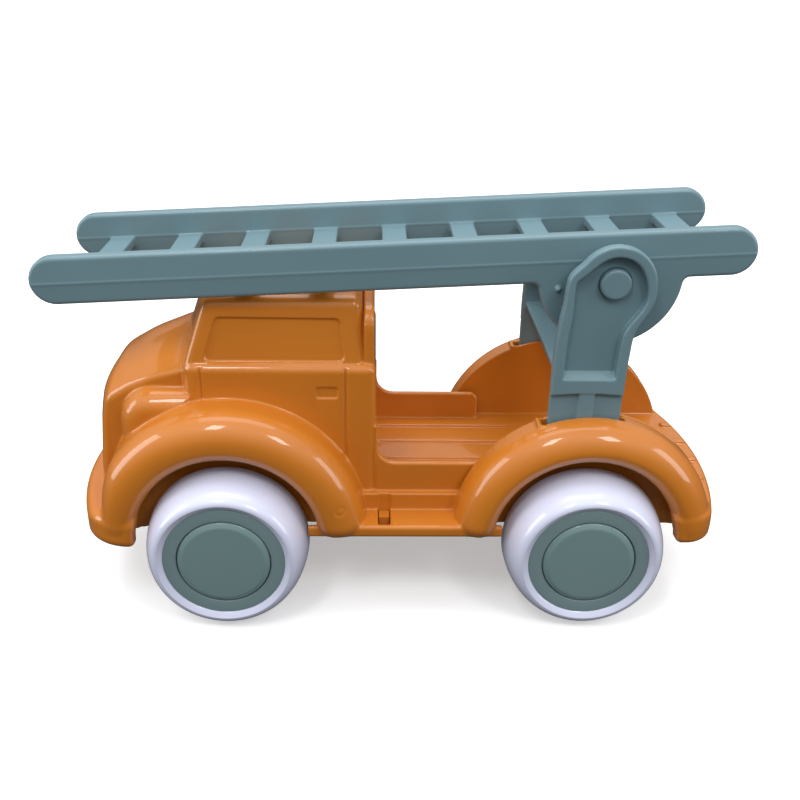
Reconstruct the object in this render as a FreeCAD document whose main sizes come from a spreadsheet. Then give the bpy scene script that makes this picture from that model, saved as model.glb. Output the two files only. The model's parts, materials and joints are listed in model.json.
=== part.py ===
"""Toy ladder fire truck: a moulded body on two wheelsets, with a ladder that tilts in a fork bracket.

Frame: millimetres, +X towards the rear of the truck, +Z up, the ground at Z = 0. X = 0 is the middle
of the overall length and Y = 0 the middle of the width. The truck is symmetric about Y = 0.
"""
import FreeCAD, Part
import math
import os
import Sketcher

DIMENSIONS = {
    # wheels and axles
    "axle_height": 33.3,
    "front_axle": -67.1,
    "rear_axle": 80.1,
    "axle_radius": 2.0,
    "axle_end": 62.0,
    "bearing_gap": 0.05,
    "tyre_radius": 33.3,
    "tyre_inner": 43.0,
    "tyre_outer": 66.0,
    "tyre_shoulder": 8.5,
    "tyre_back_shoulder": 5.0,
    "rim_radius": 24.5,
    "rim_barrel": 20.0,
    "rim_bore": 17.5,
    "rim_face": 64.6,
    "rim_flange": 3.0,
    "rim_web": 2.6,
    "rim_boss": 5.5,
    "rim_back": 45.0,
    "cap_radius": 19.0,
    "cap_face": 65.6,
    "cap_depth": 2.6,
    "cap_round": 1.4,
    # fenders
    "fender_centre": 35.3,
    "front_fender": 57.0,
    "rear_fender": 54.0,
    "fender_outer": 57.0,
    "fender_round": 10.0,
    "fender_wall": 2.6,
    "arch_radius": 37.5,
    "well_inner": 40.6,
    "skirt_bottom": 36.8,
    # cab and hood
    "cab_half": 36.0,
    "cab_front": -84.0,
    "cab_rear": -5.5,
    "belt_height": 106.7,
    "roof_height": 133.7,
    "roof_half": 30.0,
    "roof_front": -72.0,
    "roof_rear": -12.0,
    "roof_round": 4.0,
    "cab_round": 5.0,
    "wall": 2.6,
    "belt_round": 2.5,
    "bulkhead_back": -11.5,
    "bulkhead_thickness": 4.4,
    "bulkhead_top": 129.6,
    "bulkhead_half": 33.0,
    "bulkhead_round": 9.0,
    "pod_front": -110.0,
    "pod_half": 39.0,
    "pod_top": 94.5,
    "pod_round": 8.0,
    # bumper, sill, bed and rear step
    "bumper_top": 47.0,
    "bumper_bottom": 33.4,
    "bumper_nose": -133.4,
    "bumper_bow": 127.0,
    "bumper_corner": 9.0,
    "bumper_flat_half": 49.0,
    "bumper_bow_drop": 9.82,
    "bumper_end": -110.0,
    "sill_top": 42.5,
    "sill_half": 52.8,
    "sill_front": -34.0,
    "sill_rear": 46.0,
    "sill_bottom": 37.4,
    "floor_top": 50.0,
    "floor_thickness": 3.2,
    "bed_half": 38.0,
    "bed_wall_half": 36.0,
    "bed_wall": 3.0,
    "bed_wall_top": 63.2,
    "bed_wall_rear": 43.0,
    "bed_wall_fillet": 7.5,
    "groove_pitch": 16.0,
    "groove_width": 2.0,
    "groove_depth": 1.0,
    "step_rear": 141.2,
    "step_bow": 155.0,
    "step_flat_half": 51.46,
    "step_bow_drop": 8.79,
    "step_corner": 8.0,
    "step_end": 124.8,
    "tread_front": 131.5,
    "tread_rear": 138.0,
    "tread_pitch": 17.0,
    "tread_width": 4.0,
    "tread_rise": 0.9,
    # spaces under the moulding
    "nose_space_front": -118.0,
    "nose_space_top": 78.0,
    "hood_space_front": -108.0,
    "hood_space_top": 96.0,
    "nose_space_half": 22.5,
    "nose_side_front": -104.0,
    "nose_side_top": 58.0,
    "bumper_space_front": -121.0,
    "bumper_space_rear": -108.0,
    "bumper_space_half": 36.0,
    "bed_space_rear": 134.4,
    "sill_space_front": -7.5,
    "sill_space_rear": 24.0,
    # latch and chassis
    "latch_front": -5.2,
    "latch_rear": -0.3,
    "latch_inner": 38.3,
    "latch_outer": 50.3,
    "hook_outer": 44.0,
    "hook_gap": 0.3,
    "tab_front": -9.4,
    "tab_rear": 2.0,
    "tab_outer": 47.0,
    "chassis_thickness": 2.6,
    "chassis_front": -103.0,
    "chassis_rear": 126.0,
    "chassis_half": 33.2,
    "bearing_length": 9.0,
    "bearing_outer": 33.2,
    "bearing_radius": 6.0,
    # bracket
    "pivot_x": 83.6,
    "pivot_z": 143.7,
    "arm_inner": 39.3,
    "arm_thickness": 5.0,
    "arm_web": 1.4,
    "arm_head": 15.3,
    "arm_rim": 4.2,
    "foot_front": 62.6,
    "foot_rear": 91.2,
    "foot_bottom": 78.0,
    "foot_step": 98.2,
    "foot_recess": 1.6,
    "foot_rib_front": 73.7,
    "foot_rib_rear": 80.1,
    "slot_front": 60.0,
    "slot_rear": 93.2,
    "pocket_bottom": 105.5,
    "cross_top": 107.3,
    "cross_thickness": 2.6,
    "cross_front": 64.2,
    "cross_rear": 91.4,
    "socket_wall": 2.0,
    "trunnion_radius": 6.0,
    "trunnion_gap": 0.08,
    "trunnion_end": 43.2,
    # ladder, measured along itself from the pivot
    "ladder_tilt": 3.2,
    "ladder_front": -222.06,
    "ladder_rear": 55.54,
    "ladder_middle": 8.5,
    "rail_outer": 35.3,
    "rail_thickness": 7.0,
    "rail_height": 18.8,
    "rung_pitch": 29.8,
    "rung_first": -201.5,
    "rung_width": 10.5,
    "rung_top": 7.5,
    "rung_thickness": 4.0,
    "cheek_radius": 28.0,
    "nub_radius": 1.2,
    "nub_back": 20.5,
    "nub_drop": 3.0,
}
RUNG_COUNT = 9
SIDES = {"left": -1, "right": 1}

doc = FreeCAD.newDocument("ladder_truck")
sheet = doc.addObject("Spreadsheet::Sheet", "Sheet")
for row, (alias, number) in enumerate(DIMENSIONS.items(), start=1):
    sheet.set(f"A{row}", alias)
    sheet.set(f"B{row}", str(number))
    sheet.setAlias(f"B{row}", alias)
doc.recompute()

# the hood's sections: place along the truck, crown height, height at the side crease, half width
HOOD_SECTIONS = (
    ("Sheet.cab_front", 113.6, 103.6, 29.0),
    ("-103.4", 107.4, 99.2, 28.5),
    ("-113.8", 101.3, 92.6, 28.0),
    ("-121.2", 92.3, 80.5, 26.0),
    ("-125.2", 78.9, 60.0, 20.0),
    ("-127.9", 54.0, 49.5, 11.0),
)


def dim(alias):
    """The value of one cell of the sheet."""
    return float(sheet.get(alias))


def bind(feature, **expressions):
    """Bind properties of a feature to expressions over the sheet; dots are written as double underscores."""
    for name, expression in expressions.items():
        feature.setExpression(name.replace("__", "."), expression)


def value(expression):
    """The number that an expression over the sheet gives now."""
    result = sheet.evalExpression(expression)
    return float(getattr(result, "Value", result))


def new_body(label):
    body = doc.addObject("PartDesign::Body", label)
    body.Label = label
    body.Placement = FreeCAD.Placement()
    return body


def origin_plane(body, role):
    for plane in body.Origin.OriginFeatures:
        if plane.Role == role:
            return plane
    raise ValueError(role)


def new_sketch(body, name, role, offset="0"):
    """A sketch on an origin plane of its body, moved along the plane's normal by an expression."""
    sketch = body.newObject("Sketcher::SketchObject", name)
    sketch.AttachmentSupport = (origin_plane(body, role), "")
    sketch.MapMode = "FlatFace"
    bind(sketch, AttachmentOffset__Base__z=offset)
    return sketch


def fix_point(sketch, curve, end, x, y):
    """Hold one end of a curve at (x, y), each bound to its own expression."""
    for kind, expression in (("DistanceX", x), ("DistanceY", y)):
        index = sketch.addConstraint(
            Sketcher.Constraint(kind, -1, 1, curve, end, value(expression))
        )
        sketch.setExpression(f"Constraints[{index}]", expression)


def outline(body, name, role, corners, offset="0"):
    """A closed sketch through corners (x, y) or (x, y, radius); a radius makes the next edge an arc.

    A positive radius puts the arc's centre on the left of the way from its corner to the next.
    """
    sketch = new_sketch(body, name, role, offset)
    spots = [FreeCAD.Vector(value(c[0]), value(c[1]), 0) for c in corners]
    for i, corner in enumerate(corners):
        start = spots[i]
        end = spots[(i + 1) % len(corners)]
        if len(corner) == 2:
            sketch.addGeometry(Part.LineSegment(start, end), False)
            fix_point(sketch, i, 1, corner[0], corner[1])
            continue
        radius = value(corner[2])
        chord = end - start
        left = FreeCAD.Vector(-chord.y, chord.x, 0).normalize() * math.copysign(1, radius)
        rise = math.sqrt(max(radius**2 - chord.Length**2 / 4, 0))
        centre = (start + end) / 2 + left * rise
        middle = centre - left * abs(radius)
        sketch.addGeometry(Part.Arc(start, middle, end), False)
        first = 1 if radius > 0 else 2
        fix_point(sketch, i, first, corner[0], corner[1])
        index = sketch.addConstraint(Sketcher.Constraint("Radius", i, abs(radius)))
        sketch.setExpression(f"Constraints[{index}]", f"abs({corner[2]})")
    for i, corner in enumerate(corners):
        following = (i + 1) % len(corners)
        last = 1 if len(corner) == 3 and value(corner[2]) < 0 else 2
        other = corners[following]
        first = 2 if len(other) == 3 and value(other[2]) < 0 else 1
        sketch.addConstraint(Sketcher.Constraint("Coincident", i, last, following, first))
    return sketch


def pad(body, name, sketch, length, midplane=False, backwards=False):
    feature = body.newObject("PartDesign::Pad", name)
    feature.Profile = sketch
    feature.Midplane = midplane
    feature.Reversed = backwards
    bind(feature, Length=length)
    return feature


def cut_away(body, name, sketch, length, midplane=False, backwards=False):
    """A pocket, checked to take material away."""
    doc.recompute()
    before = body.Shape.Volume
    feature = body.newObject("PartDesign::Pocket", name)
    feature.Profile = sketch
    feature.Midplane = midplane
    feature.Reversed = backwards
    bind(feature, Length=length)
    doc.recompute()
    if body.Shape.Volume > before - 1:
        raise ValueError(f"{name} cuts nothing")
    return feature


def block(body, name, low, high, cutting=False):
    """A box between two corners whose coordinates are expressions, added to or cut from a body."""
    kind = "PartDesign::SubtractiveBox" if cutting else "PartDesign::AdditiveBox"
    feature = body.newObject(kind, name)
    feature.AttachmentSupport = (origin_plane(body, "XY_Plane"), "")
    feature.MapMode = "FlatFace"
    for axis, size, start, end in zip("xyz", ("Length", "Width", "Height"), low, high):
        feature.setExpression(f"AttachmentOffset.Base.{axis}", start)
        feature.setExpression(size, f"({end}) - ({start})")
    return feature


def mirrored_blocks(body, name, low, high, cutting=False):
    """The same box on both sides of Y = 0; low and high give it on the +Y side."""
    block(body, name + "_right", low, high, cutting)
    flipped_low = (low[0], f"-({high[1]})", low[2])
    flipped_high = (high[0], f"-({low[1]})", high[2])
    block(body, name + "_left", flipped_low, flipped_high, cutting)


def ring_profile(body, name, x, corners):
    """A sketch across the truck at X = x, for a part that is round about a line along Y."""
    return outline(body, name, "YZ_Plane", corners, offset=x)


def fender_outline(radius):
    """Section across the truck of a pair of fender arches, from the wheels' centre height up."""
    edge = "Sheet.fender_outer"
    shoulder = "(Sheet.fender_outer - Sheet.fender_round)"
    top = f"Sheet.fender_centre + {radius}"
    return [
        (f"-{edge}", "Sheet.fender_centre"),
        (edge, "Sheet.fender_centre"),
        (edge, f"{top} - Sheet.fender_round", "Sheet.fender_round"),
        (shoulder, top),
        (f"-{shoulder}", top, "Sheet.fender_round"),
        (f"-{edge}", f"{top} - Sheet.fender_round"),
    ]


def well_outline(radius):
    """Section of the space inside one fender, a wall's thickness inside its surface."""
    edge = "(Sheet.fender_outer - Sheet.fender_wall)"
    rounding = "(Sheet.fender_round - Sheet.fender_wall)"
    top = f"Sheet.fender_centre + {radius} - Sheet.fender_wall"
    return [
        ("Sheet.well_inner", "Sheet.fender_centre"),
        (edge, "Sheet.fender_centre"),
        (edge, f"{top} - {rounding}", rounding),
        (f"{edge} - {rounding}", top),
        ("Sheet.well_inner", top),
    ]


def revolve(body, name, sketch, height, angle, cutting=False):
    """Turn a profile about the line along Y at the given height in the sketch's plane."""
    axis = sketch.addGeometry(
        Part.LineSegment(
            FreeCAD.Vector(-1, value(height), 0), FreeCAD.Vector(1, value(height), 0)
        ),
        True,
    )
    sketch.addConstraint(Sketcher.Constraint("Horizontal", axis))
    fix_point(sketch, axis, 1, "-1", height)
    index = sketch.addConstraint(Sketcher.Constraint("DistanceX", -1, 1, axis, 2, 1.0))
    sketch.setExpression(f"Constraints[{index}]", "1")
    doc.recompute()
    before = body.Shape.Volume if cutting else 0
    kind = "PartDesign::Groove" if cutting else "PartDesign::Revolution"
    feature = body.newObject(kind, name)
    feature.Profile = sketch
    feature.ReferenceAxis = (sketch, ["Axis0"])
    feature.Midplane = angle != "360"
    bind(feature, Angle=angle)
    doc.recompute()
    if cutting and body.Shape.Volume > before - 1:
        raise ValueError(f"{name} cuts nothing")
    return feature


def hood(body):
    """The hood as sections across the truck, each with a crowned top."""
    sketches = []
    for number, (x, top, side, half) in enumerate(HOOD_SECTIONS):
        rise = top - side
        crown = (half**2 + rise**2) / (2 * rise)
        corners = [
            (str(-half), "Sheet.sill_bottom"),
            (str(half), "Sheet.sill_bottom"),
            (str(half), str(side), str(crown)),
            (str(-half), str(side)),
        ]
        sketches.append(outline(body, f"hood_section_{number}", "YZ_Plane", corners, offset=x))
    loft = body.newObject("PartDesign::AdditiveLoft", "hood")
    loft.Profile = sketches[0]
    loft.Sections = sketches[1:]
    loft.Ruled = True
    loft.Refine = False
    return loft


def rectangle(body, name, front, rear, half, height):
    corners = [(front, f"-({half})"), (rear, f"-({half})"), (rear, half), (front, half)]
    return outline(body, name, "XY_Plane", corners, offset=height)


def greenhouse(body, name, inset, top, kind):
    """The cab above the belt: a tapered block, or the space inside it when inset is a wall."""
    base = rectangle(
        body,
        name + "_base",
        f"Sheet.cab_front + 1 + {inset}",
        f"Sheet.cab_rear - 1.5 - {inset}",
        f"Sheet.cab_half - 1 - {inset}",
        "Sheet.belt_height - 1",
    )
    roof = rectangle(
        body,
        name + "_roof",
        f"Sheet.roof_front + {inset}",
        f"Sheet.roof_rear - {inset}",
        f"Sheet.roof_half - {inset}",
        top,
    )
    loft = body.newObject(kind, name)
    loft.Profile = base
    loft.Sections = [roof]
    loft.Ruled = True
    return loft


def edges_where(shape, test):
    return [f"Edge{i}" for i, edge in enumerate(shape.Edges, start=1) if test(edge)]


def fillet(body, name, base, test, radius):
    """Round the edges of a feature that pass a test."""
    doc.recompute()
    chosen = edges_where(base.Shape, test)
    if not chosen:
        raise ValueError(f"{name} has no edges")
    feature = body.newObject("PartDesign::Fillet", name)
    feature.Base = (base, chosen)
    bind(feature, Radius=radius)
    return feature


def add_cab(body):
    """The cab below the belt with its rounded shoulders, and the glazed part above it."""
    cab = outline(
        body,
        "cab_side",
        "XZ_Plane",
        [
            ("Sheet.cab_front", "Sheet.sill_bottom"),
            ("Sheet.cab_rear", "Sheet.sill_bottom"),
            ("Sheet.cab_rear - 1.5", "Sheet.belt_height - Sheet.cab_round"),
            ("Sheet.cab_rear - 1.5", "Sheet.belt_height"),
            ("Sheet.cab_front", "Sheet.belt_height"),
        ],
    )
    lower = pad(body, "cab_lower", cab, "2 * Sheet.cab_half", midplane=True)
    belt = dim("belt_height")
    side = dim("cab_half")
    fillet(
        body,
        "cab_belt_round",
        lower,
        lambda e: abs(e.CenterOfMass.z - belt) < 0.1 and abs(abs(e.CenterOfMass.y) - side) < 0.1,
        "Sheet.belt_round",
    )
    greenhouse(body, "greenhouse", "0", "Sheet.roof_height", "PartDesign::AdditiveLoft")
    doc.recompute()
    roof = dim("roof_height")
    fillet(
        body,
        "roof_round",
        body.Tip,
        lambda e: abs(e.CenterOfMass.z - roof) < 0.1,
        "Sheet.roof_round",
    )


def add_nose(body):
    """The hood, the headlamp pods beside it and the bowed bumper."""
    hood(body)
    pod = outline(
        body,
        "pod_side",
        "XZ_Plane",
        [
            ("Sheet.pod_front", "Sheet.floor_top"),
            ("Sheet.cab_front + 4", "Sheet.floor_top"),
            ("Sheet.cab_front + 4", "Sheet.pod_top"),
            ("Sheet.pod_front + Sheet.pod_round", "Sheet.pod_top", "Sheet.pod_round"),
            ("Sheet.pod_front", "Sheet.pod_top - Sheet.pod_round"),
        ],
    )
    pad(body, "headlamp_pods", pod, "2 * Sheet.pod_half", midplane=True)
    bumper = outline(
        body,
        "bumper_plan",
        "XY_Plane",
        [
            ("Sheet.bumper_end", "Sheet.fender_outer - 0.4"),
            ("Sheet.bumper_end - 4", "Sheet.fender_outer - 0.4", "Sheet.bumper_corner"),
            ("Sheet.bumper_nose + Sheet.bumper_bow_drop", "Sheet.bumper_flat_half", "Sheet.bumper_bow"),
            ("Sheet.bumper_nose + Sheet.bumper_bow_drop", "-Sheet.bumper_flat_half", "Sheet.bumper_corner"),
            ("Sheet.bumper_end - 4", "-(Sheet.fender_outer - 0.4)"),
            ("Sheet.bumper_end", "-(Sheet.fender_outer - 0.4)"),
        ],
        offset="Sheet.bumper_bottom",
    )
    pad(body, "bumper", bumper, "Sheet.bumper_top - Sheet.bumper_bottom")


def add_fenders(body):
    """The fenders over both axles and, between them, the base of the bed."""
    for end in ("front", "rear"):
        arch = ring_profile(
            body,
            f"{end}_fender_section",
            f"Sheet.{end}_axle",
            fender_outline(f"Sheet.{end}_fender"),
        )
        if end == "front":
            revolve(body, "front_fenders", arch, "Sheet.fender_centre", "180")
            continue
        block(
            body,
            "bed_base",
            ("Sheet.bulkhead_back", "-Sheet.bed_wall_half", "Sheet.sill_bottom"),
            ("Sheet.step_end", "Sheet.bed_wall_half", "Sheet.floor_top"),
        )
        revolve(body, "rear_fenders", arch, "Sheet.fender_centre", "180")


def add_bed(body):
    """The rear step, the sills, the open bed with its low walls and the plate behind the cab."""
    step = outline(
        body,
        "step_plan",
        "XY_Plane",
        [
            ("Sheet.step_end", "-(Sheet.fender_outer - 0.2)", "Sheet.step_corner"),
            ("Sheet.step_rear - Sheet.step_bow_drop", "-Sheet.step_flat_half", "Sheet.step_bow"),
            ("Sheet.step_rear - Sheet.step_bow_drop", "Sheet.step_flat_half", "Sheet.step_corner"),
            ("Sheet.step_end", "Sheet.fender_outer - 0.2"),
        ],
        offset="Sheet.skirt_bottom",
    )
    pad(body, "rear_step", step, "Sheet.floor_top - Sheet.skirt_bottom")
    block(
        body,
        "sill",
        ("Sheet.sill_front", "-Sheet.sill_half", "Sheet.sill_bottom"),
        ("Sheet.sill_rear", "Sheet.sill_half", "Sheet.sill_top"),
    )
    block(
        body,
        "load_space",
        ("Sheet.cab_rear", "-Sheet.bed_half", "Sheet.floor_top"),
        ("Sheet.step_rear + 5", "Sheet.bed_half", "Sheet.belt_height"),
        cutting=True,
    )
    side_wall = outline(
        body,
        "bed_wall_side",
        "XZ_Plane",
        [
            ("Sheet.cab_rear - 3", "Sheet.floor_top - 2"),
            ("Sheet.bed_wall_rear", "Sheet.floor_top - 2"),
            ("Sheet.bed_wall_rear", "Sheet.bed_wall_top - 3", "3"),
            ("Sheet.bed_wall_rear - 3", "Sheet.bed_wall_top"),
            (
                "Sheet.cab_rear + Sheet.bed_wall_fillet - 0.4",
                "Sheet.bed_wall_top",
                "-Sheet.bed_wall_fillet",
            ),
            ("Sheet.cab_rear - 0.4", "Sheet.bed_wall_top + Sheet.bed_wall_fillet"),
            ("Sheet.cab_rear - 3", "Sheet.bed_wall_top + Sheet.bed_wall_fillet"),
        ],
    )
    pad(body, "bed_walls", side_wall, "2 * Sheet.bed_wall_half", midplane=True)
    block(
        body,
        "bed_inside",
        (
            "Sheet.cab_rear",
            "-(Sheet.bed_wall_half - Sheet.bed_wall)",
            "Sheet.floor_top",
        ),
        (
            "Sheet.bed_wall_rear + 1",
            "Sheet.bed_wall_half - Sheet.bed_wall",
            "Sheet.belt_height",
        ),
        cutting=True,
    )
    bulkhead = outline(
        body,
        "bulkhead_outline",
        "YZ_Plane",
        [
            ("-Sheet.bulkhead_half", "Sheet.belt_height - 10"),
            ("Sheet.bulkhead_half", "Sheet.belt_height - 10"),
            ("Sheet.bulkhead_half", "Sheet.bulkhead_top - Sheet.bulkhead_round", "Sheet.bulkhead_round"),
            ("Sheet.bulkhead_half - Sheet.bulkhead_round", "Sheet.bulkhead_top"),
            ("-(Sheet.bulkhead_half - Sheet.bulkhead_round)", "Sheet.bulkhead_top", "Sheet.bulkhead_round"),
            ("-Sheet.bulkhead_half", "Sheet.bulkhead_top - Sheet.bulkhead_round"),
        ],
        offset="Sheet.bulkhead_back",
    )
    pad(body, "bulkhead", bulkhead, "Sheet.bulkhead_thickness")


def cut_wells(body):
    """The wheel wells under the fenders, and the arches cut through the fenders' outer sides."""
    for end in ("front", "rear"):
        well = ring_profile(
            body,
            f"{end}_well_section",
            f"Sheet.{end}_axle",
            well_outline(f"Sheet.{end}_fender"),
        )
        revolve(body, f"{end}_right_well", well, "Sheet.fender_centre", "180", cutting=True)
        mirror = body.newObject("PartDesign::Mirrored", f"{end}_left_well")
        mirror.Originals = [body.getObject(f"{end}_right_well")]
        mirror.MirrorPlane = (origin_plane(body, "XZ_Plane"), [""])
        body.Tip = mirror
        doc.recompute()
        for side, sign in SIDES.items():
            arch = body.newObject("PartDesign::SubtractiveCylinder", f"{end}_{side}_arch")
            arch.AttachmentSupport = (origin_plane(body, "XZ_Plane"), "")
            arch.MapMode = "FlatFace"
            near = "Sheet.well_inner" if sign < 0 else "-(Sheet.fender_outer + 5)"
            bind(
                arch,
                Radius="Sheet.arch_radius",
                Height="Sheet.fender_outer + 5 - Sheet.well_inner",
                AttachmentOffset__Base__x=f"Sheet.{end}_axle",
                AttachmentOffset__Base__y="Sheet.fender_centre + 0.2",
                AttachmentOffset__Base__z=near,
            )


def add_floor_relief(body):
    """The latch holes in the sills, the grooves in the bed and the ribs on the rear step."""
    mirrored_blocks(
        body,
        "latch_hole",
        ("Sheet.latch_front", "Sheet.latch_inner", "Sheet.bumper_bottom"),
        ("Sheet.latch_rear", "Sheet.latch_outer", "Sheet.sill_top + 1"),
        cutting=True,
    )
    for number, row in enumerate((-1.5, -0.5, 0.5, 1.5)):
        block(
            body,
            f"floor_groove_{number}",
            (
                "Sheet.cab_rear",
                f"{row} * Sheet.groove_pitch - Sheet.groove_width / 2",
                "Sheet.floor_top - Sheet.groove_depth",
            ),
            (
                "Sheet.step_end",
                f"{row} * Sheet.groove_pitch + Sheet.groove_width / 2",
                "Sheet.floor_top + 1",
            ),
            cutting=True,
        )
        block(
            body,
            f"tread_rib_{number}",
            (
                "Sheet.tread_front",
                f"{row} * Sheet.tread_pitch - Sheet.tread_width / 2",
                "Sheet.floor_top - 1",
            ),
            (
                "Sheet.tread_rear",
                f"{row} * Sheet.tread_pitch + Sheet.tread_width / 2",
                "Sheet.floor_top + Sheet.tread_rise",
            ),
        )


def hollow_body(body):
    """The spaces under the moulding, which make it a shell of even wall."""
    spaces = {
        "cab_space": (
            ("Sheet.cab_front + Sheet.wall", "-(Sheet.cab_half - Sheet.wall)", "Sheet.bumper_bottom"),
            (
                "Sheet.bulkhead_back - Sheet.wall",
                "Sheet.cab_half - Sheet.wall",
                "Sheet.belt_height - 4.2",
            ),
        ),
        "nose_space": (
            ("Sheet.nose_space_front", "-Sheet.nose_space_half", "Sheet.bumper_bottom"),
            ("Sheet.cab_front + Sheet.wall + 1", "Sheet.nose_space_half", "Sheet.nose_space_top"),
        ),
        "hood_space": (
            ("Sheet.hood_space_front", "-Sheet.nose_space_half", "Sheet.nose_space_top - 1"),
            ("Sheet.cab_front + Sheet.wall + 1", "Sheet.nose_space_half", "Sheet.hood_space_top"),
        ),
        "nose_side_space": (
            ("Sheet.nose_side_front", "-(Sheet.cab_half - Sheet.wall)", "Sheet.bumper_bottom"),
            ("Sheet.cab_front + Sheet.wall + 1", "Sheet.cab_half - Sheet.wall", "Sheet.nose_side_top"),
        ),
        "below_skirt": (
            ("Sheet.nose_side_front", "-(Sheet.fender_outer + 1)", "Sheet.bumper_bottom - 1"),
            ("Sheet.step_rear + 1", "Sheet.fender_outer + 1", "Sheet.skirt_bottom"),
        ),
        "plate_space": (
            ("Sheet.nose_side_front", "-(Sheet.cab_half - Sheet.wall)", "Sheet.bumper_bottom"),
            ("Sheet.chassis_rear + 1", "Sheet.cab_half - Sheet.wall", "Sheet.sill_bottom + 0.3"),
        ),
        "bumper_space": (
            ("Sheet.bumper_space_front", "-Sheet.bumper_space_half", "Sheet.bumper_bottom"),
            (
                "Sheet.bumper_space_rear",
                "Sheet.bumper_space_half",
                "Sheet.bumper_top - Sheet.wall",
            ),
        ),
        "bed_space": (
            (
                "Sheet.bulkhead_back",
                "-(Sheet.bed_wall_half - Sheet.wall)",
                "Sheet.bumper_bottom",
            ),
            ("Sheet.bed_space_rear", "Sheet.bed_wall_half - Sheet.wall", "Sheet.floor_top - Sheet.floor_thickness"),
        ),
    }
    for name, (low, high) in spaces.items():
        block(body, name, low, high, cutting=True)
    greenhouse(
        body,
        "greenhouse_space",
        "2.8",
        "Sheet.roof_height - Sheet.wall",
        "PartDesign::SubtractiveLoft",
    )
    mirrored_blocks(
        body,
        "sill_space",
        ("Sheet.sill_space_front", "Sheet.bed_wall_half", "Sheet.bumper_bottom"),
        ("Sheet.sill_space_rear", "Sheet.sill_half - Sheet.wall", "Sheet.sill_top - 2.4"),
        cutting=True,
    )


def bracket_sockets(body):
    """Blind slots in the tops of the rear fenders that take the bracket's feet."""
    mirrored_blocks(
        body,
        "socket",
        (
            "Sheet.slot_front - Sheet.socket_wall",
            "Sheet.bed_half",
            "Sheet.foot_bottom - Sheet.socket_wall",
        ),
        (
            "Sheet.slot_rear + Sheet.socket_wall",
            "Sheet.arm_inner + Sheet.arm_thickness + Sheet.socket_wall",
            "Sheet.fender_centre + Sheet.rear_fender - 6",
        ),
    )
    mirrored_blocks(
        body,
        "slot",
        ("Sheet.slot_front", "Sheet.arm_inner", "Sheet.foot_bottom"),
        ("Sheet.slot_rear", "Sheet.arm_inner + Sheet.arm_thickness", "Sheet.belt_height"),
        cutting=True,
    )


def make_body_shell():
    """The one-piece moulded body: cab, hood, fenders, bumper, bed and rear step, open underneath."""
    body = new_body("body_shell")
    add_cab(body)
    add_nose(body)
    add_fenders(body)
    add_bed(body)
    cut_wells(body)
    hollow_body(body)
    bracket_sockets(body)
    add_floor_relief(body)
    return body


def cylinder_across(body, name, x, z, start, length, radius, cutting=False):
    """A cylinder along Y from Y = start, added or cut; all sizes are expressions."""
    kind = "PartDesign::SubtractiveCylinder" if cutting else "PartDesign::AdditiveCylinder"
    feature = body.newObject(kind, name)
    feature.AttachmentSupport = (origin_plane(body, "XZ_Plane"), "")
    feature.MapMode = "FlatFace"
    bind(
        feature,
        Radius=radius,
        Height=length,
        AttachmentOffset__Base__x=x,
        AttachmentOffset__Base__y=z,
        AttachmentOffset__Base__z=f"-({start}) - ({length})",
    )
    return feature


def make_chassis_plate():
    """The plate that closes the underside, with four bearings and two latch hooks."""
    body = new_body("chassis_plate")
    top = "Sheet.sill_bottom"
    bottom = "Sheet.sill_bottom - Sheet.chassis_thickness"
    block(
        body,
        "plate",
        ("Sheet.chassis_front", "-Sheet.chassis_half", bottom),
        ("Sheet.chassis_rear", "Sheet.chassis_half", top),
    )
    mirrored_blocks(
        body,
        "tab",
        ("Sheet.tab_front", "Sheet.chassis_half - 1", bottom),
        ("Sheet.tab_rear", "Sheet.tab_outer", "Sheet.sill_bottom - 0.6"),
    )
    mirrored_blocks(
        body,
        "hook",
        ("Sheet.latch_front + Sheet.hook_gap", "Sheet.latch_inner + Sheet.hook_gap", bottom),
        (
            "Sheet.latch_rear - Sheet.hook_gap",
            "Sheet.hook_outer",
            "Sheet.sill_top - 0.8",
        ),
    )
    for end in ("front", "rear"):
        for side, sign in SIDES.items():
            start = "-Sheet.bearing_outer" if sign < 0 else "Sheet.bearing_outer - Sheet.bearing_length"
            cylinder_across(
                body,
                f"{end}_{side}_bearing",
                f"Sheet.{end}_axle",
                "Sheet.axle_height",
                start,
                "Sheet.bearing_length",
                "Sheet.bearing_radius",
            )
        cylinder_across(
            body,
            f"{end}_bearing_bore",
            f"Sheet.{end}_axle",
            "Sheet.axle_height",
            "-Sheet.bearing_outer - 1",
            "2 * Sheet.bearing_outer + 2",
            "Sheet.axle_radius + Sheet.bearing_gap",
            cutting=True,
        )
        middle = "Sheet.bearing_outer - Sheet.bearing_length"
        block(
            body,
            f"{end}_axle_clearance",
            (f"Sheet.{end}_axle - 5", f"-({middle})", "Sheet.bumper_bottom - 9"),
            (f"Sheet.{end}_axle + 5", middle, "Sheet.sill_bottom + 1"),
            cutting=True,
        )
    return body


def make_axle(end):
    """A plain steel rod through the chassis bearings into both wheels."""
    axle = doc.addObject("Part::Cylinder", f"{end}_axle_rod")
    axle.Label = f"{end}_axle"
    bind(
        axle,
        Radius="Sheet.axle_radius",
        Height="2 * Sheet.axle_end",
        Placement__Base__x=f"Sheet.{end}_axle",
        Placement__Base__y="Sheet.axle_end",
        Placement__Base__z="Sheet.axle_height",
        Placement__Rotation__Angle="90",
    )
    axle.Placement.Rotation = FreeCAD.Rotation(FreeCAD.Vector(1, 0, 0), 90)
    return axle


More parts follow.
